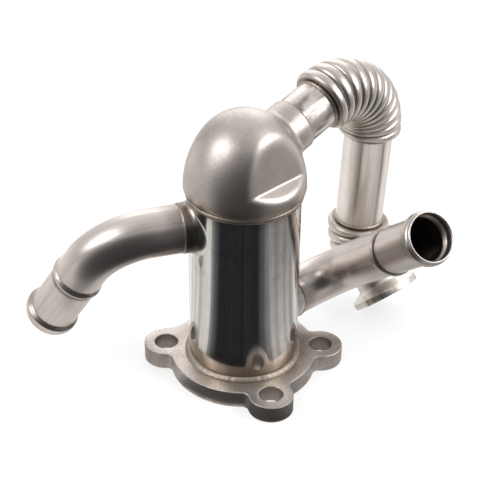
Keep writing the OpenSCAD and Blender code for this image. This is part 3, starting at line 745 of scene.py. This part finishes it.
def pipe_stains_and_shade(tree, place, clean):
    """Streaks, oxide at the brazed neck, a brown darkening of the bore, and painted shade behind the stop
    bead and at the foot of the end bead.
    """
    s = sizes()
    burnt_oxide_and_shade = finish().burnt_oxide_and_shade
    streaked = smears(tree, clean, size_mm=1.8, stretch=0.01, low=0.5, high=0.75, most=0.2, tint=burnt_oxide_and_shade)
    out = axis_distance(tree, place)
    end = s.socket_end
    brazed = oxide(tree, place, streaked, out, end + 0.4 * MM, end + 8.4 * MM, most=0.5, tint=burnt_oxide_and_shade)
    section = along_pipe(tree)
    r = axis_distance(tree, section)
    # The bore is darker brown, less so under the beads
    darker_bore = film(tree, brazed, r, s.pipe_r - 0.9 * MM, s.pipe_r - 0.3 * MM, most=0.8, tint=burnt_oxide_and_shade)
    past_stop = add(tree, "SeparateXYZ", [section], "Z")
    # Grows ten times as fast on the bead's own side, so that the painted shade line ends there at once
    before = add(tree, "Math", [past_stop, -10.0], operation="MULTIPLY")
    behind = add(tree, "Math", [past_stop, before], operation="MAXIMUM")
    # Painted shade: a dark line in the corner behind the stop bead
    bead_line_shade = oxide(tree, place, darker_bore, behind, near=0.4 * MM, far=1.8 * MM, most=0.75, tint=burnt_oxide_and_shade)
    # Painted shade: darker in the crease at the foot of the end bead
    foot = s.spigot_len - s.lip_len - s.end_land - s.end_bead_len
    away = add(tree, "Math", [past_stop, foot], operation="SUBTRACT")
    hollow = add(tree, "Math", [away], operation="ABSOLUTE")
    return oxide(tree, place, bead_line_shade, hollow, near=0, far=1.4 * MM, most=0.5, tint=burnt_oxide_and_shade)


def root_shade_and_oxide(tree, place, clean):
    """Brown darkening in the roots of the bellows: partly oxide, partly painted shade of the folds."""
    s = sizes()
    root = s.bellows_r - s.crest_h
    r = axis_distance(tree, along_pipe(tree))
    h = s.crest_h
    # Painted shade and oxide: darkest at the root, fading up the sides of each fold
    return film(tree, clean, r, root + 0.2 * h, root + 0.6 * h, most=0.75, tint=finish().burnt_oxide_and_shade)


def tube_stain(tree, place, clean):
    """Straw streaks down the straight gas tube."""
    tint = finish().heat_tint
    return smears(tree, clean, size_mm=2.5, stretch=0.03, low=0.52, high=0.68, most=0.6, tint=tint)


def stub_stain(tree, place, clean):
    """Burnt smears that were wiped along the stub."""
    tint = finish().burnt_oxide_and_shade
    return smears(tree, clean, size_mm=4, stretch=0.4, low=0.46, high=0.62, most=0.7, tint=tint)


class COOLER_OT_flange(bpy.types.Operator):
    """Builds the three-eared base flange"""

    bl_idname = "cooler.flange"
    bl_label = "Base flange"

    def execute(self, context):
        # Milled stainless plate, lightly blasted: an even satin with a fine sparkle and duller cut sides
        plate = steel(
            "blasted_stainless_plate", finish().machined, rough=0.46, spread=0.08, bump=0.6, grain_mm=0.7,
            mottle=0.5, stains_and_shade=flange_stain, dull=flange_dull)
        place_mesh("flange_plate", plate_mesh(), plate, ["base_flange"], sharp=30)
        return {"FINISHED"}


class COOLER_OT_shell(bpy.types.Operator):
    """Builds the shell with its two pulled necks"""

    bl_idname = "cooler.shell"
    bl_label = "Shell"

    def execute(self, context):
        s = sizes()
        # Bright annealed tube: a clear mirror with fine lines along the draw, tinted by the weld below
        tube = steel(
            "bright_stainless_tube", finish().polished, rough=0.13, spread=0.04, bump=0.06, stretch=0.05,
            stains_and_shade=shell_stain, dull=neck_dull)
        inner = s.shell_r - s.shell_wall
        corners = [[s.seat_z, s.shell_r], [s.shell_top, s.shell_r], [s.shell_top, inner], [s.seat_z, inner]]
        grids = [(rings(aim(0, 0, pi / 2), rounded(corners, 0.2 * MM)), True)]
        for z, az in ((s.left_z, s.left_az), (s.right_z, s.right_az)):
            neck = pulled_neck(aim(z, az, 0), shell_depth, s.pipe_r + s.neck_wall, s.socket_end, s.pipe_r)
            grids.append((neck, False))
        piece("shell_tube", grids, tube, ["shell"])
        return {"FINISHED"}


class COOLER_OT_dome(bpy.types.Operator):
    """Builds the dome with its pressed flat, its rolled rim and its neck"""

    bl_idname = "cooler.dome"
    bl_label = "Dome"

    def execute(self, context):
        s = sizes()
        # Deep-drawn sheet, bead blasted: soft broad highlights and a fine even grain
        sheet = steel(
            "blasted_stainless_sheet", finish().blasted, rough=0.4, spread=0.07, bump=0.5, mottle=0.35,
            stains_and_shade=dome_stain)
        cap = self.cap()
        skirt = rings(aim(0, 0, pi / 2), self.rim(cap), sides=2 * FINE)[..., :3]
        neck = pulled_neck(gas_places()[0], dome_depth, s.gas_r + 2 * s.neck_wall, s.neck_reach, s.gas_r)
        grids = [(np.concatenate([skirt, cap]), False), (neck, False)]
        piece("dome_cover", grids, sheet, ["dome"])
        return {"FINISHED"}

    def cap(self):
        """Grid of the dome over its rim: each point lies where a ray from the axis leaves the dome's form."""
        s = sizes()
        phi = around(2 * FINE)
        middle = np.array([0, 0, s.rim_z + s.rim_h])
        lift = np.linspace(0, pi / 2, 181)[:, None]
        ray = np.stack([np.cos(lift) * np.cos(phi), np.cos(lift) * np.sin(phi), np.sin(lift) + 0 * phi], -1)
        well_inside = np.full(ray.shape[:2], 5 * MM)
        well_outside = well_inside + 40 * MM
        reach = bisect(lambda d: dome_depth(middle + d[..., None] * ray), well_inside, well_outside)
        return middle + reach[..., None] * ray

    def rim(self, cap):
        """Profile of the rolled rim: a quarter ellipse from its lower end to the foot of the cap."""
        s = sizes()
        full_r = np.hypot(cap[0, :, 0], cap[0, :, 1]).mean()
        roll = np.linspace(0, pi / 2, 12)[:-1]
        rise = s.rim_z + s.rim_h * (1 - np.cos(roll))
        curve = np.stack([rise, s.rim_r + (full_r - s.rim_r) * np.sin(roll)], 1)
        return np.concatenate([[[s.rim_z + 2 * MM, s.shell_r], [s.rim_z, s.shell_r]], curve])


class COOLER_OT_gas_pipe(bpy.types.Operator):
    """Builds the gas pipe's straight tubes and its outlet flange"""

    bl_idname = "cooler.gas_pipe"
    bl_label = "Gas pipe"

    def execute(self, context):
        s = sizes()
        # Drawn and tumbled tube: satin, with faint lines along its length
        tube = steel(
            "satin_stainless_tube", finish().satin, rough=0.38, spread=0.05, bump=0.05, stretch=0.03,
            stains_and_shade=tube_stain)
        # The same tube wiped after brazing: brown-grey smears over its shine
        wiped = steel(
            "wiped_stainless_tube", finish().wiped, rough=0.34, spread=0.08, bump=0.08, stretch=0.05,
            mottle=0.3, stains_and_shade=stub_stain)
        neck, _, down, _, outlet = gas_places()
        bore = s.gas_r - s.gas_wall

        def straight(start, end):
            return rounded([[start, s.gas_r], [end, s.gas_r], [end, bore], [start, bore]], 0.25 * MM)

        stub = rings(neck, straight(s.stub_start, s.stub_reach))
        piece("stub_tube", [(stub, True)], wiped, ["outlet_stub"])
        long_tube = rings(down, straight(0, s.down_len))
        piece("gas_down_tube", [(long_tube, True)], tube, ["down_tube"])
        back = s.outlet_len - s.outlet_rim_t
        bevel = 0.5 * MM
        chamfer = MM
        turned = rounded([
            [0, bore], [0, s.gas_r], [back - s.outlet_cone_t, s.gas_r],
            [back, s.outlet_r - bevel], [back + bevel, s.outlet_r],
            [s.outlet_len, s.outlet_r], [s.outlet_len, bore + chamfer], [s.outlet_len - chamfer, bore],
        ], 0.35 * MM)
        flange = rings(outlet, turned)
        piece("outlet_flange", [(flange, True)], tube, ["gas_outlet_flange"], sharp=30)
        return {"FINISHED"}


class COOLER_OT_bellows(bpy.types.Operator):
    """Builds the two bellows"""

    bl_idname = "cooler.bellows"
    bl_label = "Bellows"

    def execute(self, context):
        s = sizes()
        # Thin hydroformed sheet: bright smooth crests and dark grooves, whose roots are darkened with oxide
        # and painted shade
        sheet = steel(
            "formed_stainless_sheet", finish().formed, rough=0.34, spread=0.06, bump=0.2, mottle=0.3,
            stains_and_shade=root_shade_and_oxide)
        _, upper, _, lower, _ = gas_places()
        for name, node, place, bend_r, bend, count in (
            ("upper_bellows_wall", "upper_bellows", upper, s.upper_bend_r, s.upper_angle, s.upper_count),
            ("lower_bellows_wall", "lower_bellows", lower, s.lower_bend_r, s.lower_angle, s.lower_count),
        ):
            wall = bellows_profile(count, bend_r * bend)
            grid = rings(place, wall, 0, bend_r, bend, sides=96)
            piece(name, [(grid, True)], sheet, [node], sharp=70)
        return {"FINISHED"}


class COOLER_OT_coolant_pipes(bpy.types.Operator):
    """Builds the two coolant pipes with their hose spigots"""

    bl_idname = "cooler.coolant_pipes"
    bl_label = "Coolant pipes"

    def execute(self, context):
        s = sizes()
        # Bent drawn tube, tumbled: satin with a soft bright ridge line
        tube = steel(
            "tumbled_stainless_tube", finish().drawn, rough=0.34, spread=0.04, bump=0.03, stretch=0.02,
            stains_and_shade=pipe_stains_and_shade)
        for name, node, place, run, bend_r, bend, tail, shade in (
            ("outlet_hose_pipe", "coolant_outlet_pipe", rolled(aim(s.left_z, s.left_az, 0), s.left_roll),
             s.left_run, s.left_bend_r, s.left_angle, s.left_tail, s.left_shade_line),
            ("inlet_hose_pipe", "coolant_inlet_pipe", rolled(aim(s.right_z, s.right_az, 0), s.right_roll),
             s.right_run, s.right_bend_r, s.right_angle, s.right_tail, s.right_shade_line),
        ):
            wall = coolant_profile(run, bend_r, bend, tail)
            # The painted shade line behind the stop bead, and the grain's place along the pipe, are measured
            # from this far past the bead
            line = run + bend_r * bend + tail + shade
            grid = rings(place, wall, run, bend_r, bend, start=line)
            piece(name, [(grid, True)], tube, [node])
        return {"FINISHED"}


class COOLER_OT_welds(bpy.types.Operator):
    """Builds the weld beads and brazed fillets"""

    bl_idname = "cooler.welds"
    bl_label = "Weld beads"

    def execute(self, context):
        s = sizes()
        # Weld metal: rippled and slightly oxidised, duller and browner than the sheet
        filler = steel("oxidised_weld_bead", finish().weld, rough=0.44, spread=0.12, bump=0.6, mottle=0.4)
        upright = aim(0, 0, pi / 2)
        neck, upper, down, lower, outlet = gas_places()
        left = aim(s.left_z, s.left_az, 0)
        right = aim(s.right_z, s.right_az, 0)
        leg = s.fillet_w
        thin = 0.6 * leg
        for name, node, place, at, r, out, up, side in (
            ("base_bead", "base_weld", upright, s.flange_t, s.shell_r, s.base_weld_w, s.base_weld_w, 1),
            ("neck_bead", "neck_braze", neck, s.neck_reach, s.gas_r, thin, leg, 1),
            ("stub_bead", "stub_weld", upper, -s.cuff_len, s.gas_r, leg, leg, -1),
            ("down_upper_bead", "down_tube_upper_weld", down, s.cuff_len, s.gas_r, leg, leg, 1),
            ("down_lower_bead", "down_tube_lower_weld", lower, -s.cuff_len, s.gas_r, leg, leg, -1),
            ("outlet_bead", "outlet_weld", outlet, s.cuff_len, s.gas_r, leg, leg, 1),
            ("outlet_pipe_bead", "coolant_outlet_braze", left, s.socket_end, s.pipe_r, thin, leg, 1),
            ("inlet_pipe_bead", "coolant_inlet_braze", right, s.socket_end, s.pipe_r, thin, leg, 1),
        ):
            piece(name, [(bead_ring(place, at, r, out, up, side), True)], filler, [node], sharp=60)
        half = s.dome_weld_w / 2
        under_dome = bead_ring(upright, s.rim_z - half, s.shell_r, 0.8 * half, half, 1, whole=True)
        piece("dome_bead", [(under_dome, True)], filler, ["dome_weld"], sharp=60)
        return {"FINISHED"}


class COOLER_OT_tube_bundle(bpy.types.Operator):
    """Finishes the tube bundle inside the shell"""

    bl_idname = "cooler.tube_bundle"
    bl_label = "Tube bundle"

    def execute(self, context):
        # Plain tube and sheet, brazed in a furnace: dull grey steel
        plain = steel("brazed_stainless_bundle", finish().plain, rough=0.42, spread=0.08, bump=0.15)
        inner = [
            node for name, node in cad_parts.items()
            if name.startswith("gas_tube") or name.endswith(("tube_sheet", "baffle"))]
        if not inner:
            raise RuntimeError("The frame holds no tube bundle")
        for node in inner:
            node.data.materials.clear()
            node.data.materials.append(plain)
        return {"FINISHED"}


class COOLER_OT_stage(bpy.types.Operator):
    """Sets the floor, the lights, the dark flag, the white card and the camera"""

    bl_idname = "cooler.stage"
    bl_label = "Studio"

    def execute(self, context):
        scene = context.scene
        scene.view_settings.view_transform = "Standard"
        self.world(scene)
        self.floor()
        self.flag()
        self.card()
        self.lamps()
        self.camera(scene)
        return {"FINISHED"}

    def world(self, scene):
        """White to the camera, an even light to the floor, and to reflections a grey room, lighter above."""
        world = bpy.data.worlds.new("studio_white")
        scene.world = world
        world.use_nodes = True
        tree = world.node_tree
        tree.nodes.clear()
        direct = add(tree, "LightPath", out="Is Camera Ray")
        through = add(tree, "LightPath", out="Is Transmission Ray")
        mirrored = add(tree, "LightPath", out="Is Glossy Ray")
        seen = add(tree, "Math", [direct, through], operation="MAXIMUM")
        even = add(tree, "MapRange", {"Value": seen, "To Min": 1.1, "To Max": 1.0})
        way = add(tree, "TexCoord", out="Generated")
        upward = add(tree, "VectorMath", [way, (0, 0.8, 0.6)], "Value", operation="DOT_PRODUCT")
        room = add(tree, "MapRange", {
            "Value": upward, "From Min": 0.0, "From Max": 0.9, "To Min": 0.45, "To Max": 1.0})
        strength = add(tree, "Mix", {"Factor": mirrored, 2: even, 3: room})
        glow = add(tree, "Background", {"Color": tuple(finish().white), "Strength": strength})
        add(tree, "OutputWorld", {"Surface": glow})

    def sheet(self, name, points, faces, material):
        """A stage object from points and faces."""
        mesh = bpy.data.meshes.new(name)
        mesh.from_pydata(points, [], faces)
        mesh.materials.append(material)
        thing = bpy.data.objects.new(name, mesh)
        bpy.context.scene.collection.objects.link(thing)
        return thing

    def only_mirrored(self, thing):
        """Hides a stage object from everything but reflections."""
        thing.visible_camera = False
        thing.visible_diffuse = False
        thing.visible_shadow = False

    def floor(self):
        """Pale matt floor: white to the camera, with part of the shadow, and light grey in reflections.

        In reflections it is darker to the front right, as painted shade where the object's shadow lies on the
        floor, and varies in soft bands round the object.
        """
        material, tree, place = new_material("pale_studio_floor")
        matt = add(tree, "BsdfDiffuse", {"Color": tuple(finish().floor)})
        glow = add(tree, "Emission", {"Color": tuple(finish().white), "Strength": 1.0})
        direct = add(tree, "LightPath", out="Is Camera Ray")
        share = add(tree, "Math", [direct, 0.6], operation="MULTIPLY")
        pale = add(tree, "MixShader", [share, matt, glow])
        across = add(tree, "SeparateXYZ", [place], "X")
        back = add(tree, "SeparateXYZ", [place], "Y")
        # Painted shade: the floor as mirrored is darker to the front right, where the object shades it
        front = add(tree, "MapRange", {
            "Value": across, "From Min": -0.05, "From Max": 0.12, "To Min": 1.0, "To Max": 0.35})
        behind = add(tree, "MapRange", {"Value": back, "From Min": 0.0, "From Max": 0.06})
        painted_shade_tone = add(tree, "Mix", {"Factor": behind, 2: front, 3: 1.15})
        turn = add(tree, "Math", [across, back], operation="ARCTAN2")
        bands = add(tree, "TexNoise", {"W": turn, "Scale": 4.0, "Detail": 0.0}, noise_dimensions="1D")
        dim = add(tree, "MapRange", {
            "Value": bands, "From Min": 0.35, "From Max": 0.62, "To Min": 0.65, "To Max": 1.15})
        banded = add(tree, "Math", [painted_shade_tone, dim], operation="MULTIPLY")
        grey = add(tree, "Emission", {"Color": tuple(finish().bounce), "Strength": banded})
        mirrored = add(tree, "LightPath", out="Is Glossy Ray")
        whole = add(tree, "MixShader", [mirrored, pale, grey])
        add(tree, "OutputMaterial", {"Surface": whole})
        half = 4
        corners = [(-half, -half, 0), (half, -half, 0), (half, half, 0), (-half, half, 0)]
        self.sheet("floor", corners, [(0, 1, 2, 3)], material)

    def flag(self):
        """Dark cloth in front of the object, on the floor and up behind the camera, seen only in reflections.

        Its section runs out along the floor and turns up in a quarter circle; it sweeps a sector to the
        front, so that the shell mirrors a dark band between bright sides.
        """
        material, tree, place = new_material("black_studio_cloth")
        across = add(tree, "SeparateXYZ", [place], "X")
        back = add(tree, "SeparateXYZ", [place], "Y")
        front = add(tree, "Math", [back, -1.0], operation="MULTIPLY")
        turn = add(tree, "Math", [across, front], operation="ARCTAN2")
        left = add(tree, "MapRange", {
            "Value": turn, "From Min": -1.1, "From Max": -0.8, "To Min": 0.4, "To Max": 0.0})
        right = add(tree, "MapRange", {
            "Value": turn, "From Min": 0.45, "From Max": 0.87, "To Min": 0.0, "To Max": 0.5})
        ends = add(tree, "Math", [left, right], operation="ADD")
        folds = add(tree, "TexNoise", {"W": turn, "Scale": 9.0, "Detail": 3.0}, noise_dimensions="1D")
        deep = add(tree, "Math", [ends, 1.6, 0.07], operation="MULTIPLY_ADD")
        dim = add(tree, "Math", [folds, deep], operation="MULTIPLY")
        glow = add(tree, "Emission", {"Color": tuple(finish().flag), "Strength": dim})
        add(tree, "OutputMaterial", {"Surface": glow})
        columns = 65
        near = 0.029
        near_at_ear = 0.0365
        flat_end = 0.5
        curl_r = 0.2
        lift = 0.6 * MM
        top = 0.6
        sweep = np.radians(np.linspace(-90 - 63, -90 + 50, columns))
        curl = np.linspace(0, pi / 2, 9)
        out = np.concatenate([[near, 0.3], flat_end + curl_r * np.sin(curl), [flat_end + curl_r]])
        out = out[:, None] * np.ones(columns)
        # The floor under the front bolt hole stays bare, so that the hole is light in the shell's mirror
        out[0, np.abs(sweep - sizes().front_ear_az) < radians(10)] = near_at_ear
        up = np.concatenate([[lift, lift], lift + curl_r * (1 - np.cos(curl)), [top]])
        grid = np.stack([out * np.cos(sweep), out * np.sin(sweep), np.outer(up, np.ones(columns))], -1)
        rows = len(up)
        faces = grid_faces(rows, columns, False, 0).reshape(rows - 1, columns, 4)[:, :-1].reshape(-1, 4)
        self.only_mirrored(self.sheet("dark_flag", grid.reshape(-1, 3).tolist(), faces.tolist(), material))

    def card(self):
        """Small white card in front of the gas pipe, seen only from behind and only in reflections."""
        material, tree, _ = new_material("white_studio_card")
        glow = add(tree, "Emission", {"Color": tuple(finish().card), "Strength": 0.75})
        clear = add(tree, "BsdfTransparent")
        front = add(tree, "NewGeometry", out="Backfacing")
        add(tree, "OutputMaterial", {"Surface": add(tree, "MixShader", [front, glow, clear])})
        y = 0.008
        left = 0.034
        right = 0.1
        low = 0.03
        high = 0.085
        corners = [(left, y, low), (left, y, high), (right, y, high), (right, y, low)]
        self.only_mirrored(self.sheet("white_card", corners, [(0, 1, 2, 3)], material))

    def lamps(self):
        """Two large soft boxes at the sides and one behind, each turned to the middle of the object."""
        for name, watts, size, spot in (
            ("left_softbox", 3.2, 0.5, (-0.6, -0.25, 0.55)),
            ("right_softbox", 3.2, 0.4, (0.6, -0.1, 0.5)),
            ("back_softbox", 1.6, 0.7, (0.0, 0.75, 0.42)),
        ):
            lamp = bpy.data.lights.new(name, "AREA")
            lamp.energy = watts
            lamp.size = size
            thing = bpy.data.objects.new(name, lamp)
            bpy.context.scene.collection.objects.link(thing)
            z = np.array(spot) - (0, 0, 0.05)
            x = np.cross((0, 0, 1), z)
            thing.matrix_world = self.placed(spot, x, np.cross(z, x), z)

    def placed(self, spot, *axes):
        """Matrix of a place whose axes point along three vectors."""
        turn = np.array([axis / np.linalg.norm(axis) for axis in axes]).T
        return Matrix.Translation(spot) @ Matrix(turn.tolist()).to_4x4()

    def camera(self, scene):
        """Camera at the photograph's angle: pitched down, with a slight roll about its own axis."""
        pitch = radians(33.18)
        roll = radians(0.522)
        right = np.array([1, 0, 0])
        up = np.array([0, sin(pitch), cos(pitch)])
        x = right * cos(roll) + up * sin(roll)
        y = up * cos(roll) - right * sin(roll)
        z = np.array([0, -cos(pitch), sin(pitch)])
        lens = bpy.data.cameras.new("camera")
        lens.sensor_width = 36
        lens.lens = 106.875
        lens.clip_start = 0.01
        thing = bpy.data.objects.new("camera", lens)
        scene.collection.objects.link(thing)
        thing.matrix_world = self.placed((-0.0016, -0.4453, 0.3484), x, y, z)
        scene.camera = thing


class COOLER_PT_panel(bpy.types.Panel):
    """Lists the cooler's pieces"""

    bl_idname = "COOLER_PT_panel"
    bl_label = "Exhaust gas cooler"
    bl_space_type = "VIEW_3D"
    bl_region_type = "UI"
    bl_category = "Cooler"

    def draw(self, context):
        for operator in OPERATORS:
            self.layout.operator(operator.bl_idname)


OPERATORS = (
    COOLER_OT_stage, COOLER_OT_flange, COOLER_OT_shell, COOLER_OT_dome, COOLER_OT_gas_pipe, COOLER_OT_bellows,
    COOLER_OT_coolant_pipes, COOLER_OT_welds, COOLER_OT_tube_bundle,
)
CLASSES = (CoolerSizes, CoolerFinish, *OPERATORS, COOLER_PT_panel)


def register():
    """Registers the classes and gives each scene its sizes and colours."""
    for cls in CLASSES:
        bpy.utils.register_class(cls)
    bpy.types.Scene.cooler_sizes = PointerProperty(type=CoolerSizes)
    bpy.types.Scene.cooler_finish = PointerProperty(type=CoolerFinish)


def unregister():
    """Takes back what register does, in the opposite order."""
    del bpy.types.Scene.cooler_finish
    del bpy.types.Scene.cooler_sizes
    for cls in reversed(CLASSES):
        bpy.utils.unregister_class(cls)


def main():
    """Builds the studio and every piece."""
    register()
    bpy.ops.cooler.stage()
    bpy.ops.cooler.flange()
    bpy.ops.cooler.shell()
    bpy.ops.cooler.dome()
    bpy.ops.cooler.gas_pipe()
    bpy.ops.cooler.bellows()
    bpy.ops.cooler.coolant_pipes()
    bpy.ops.cooler.welds()
    bpy.ops.cooler.tube_bundle()


if __name__ == "__main__":
    main()
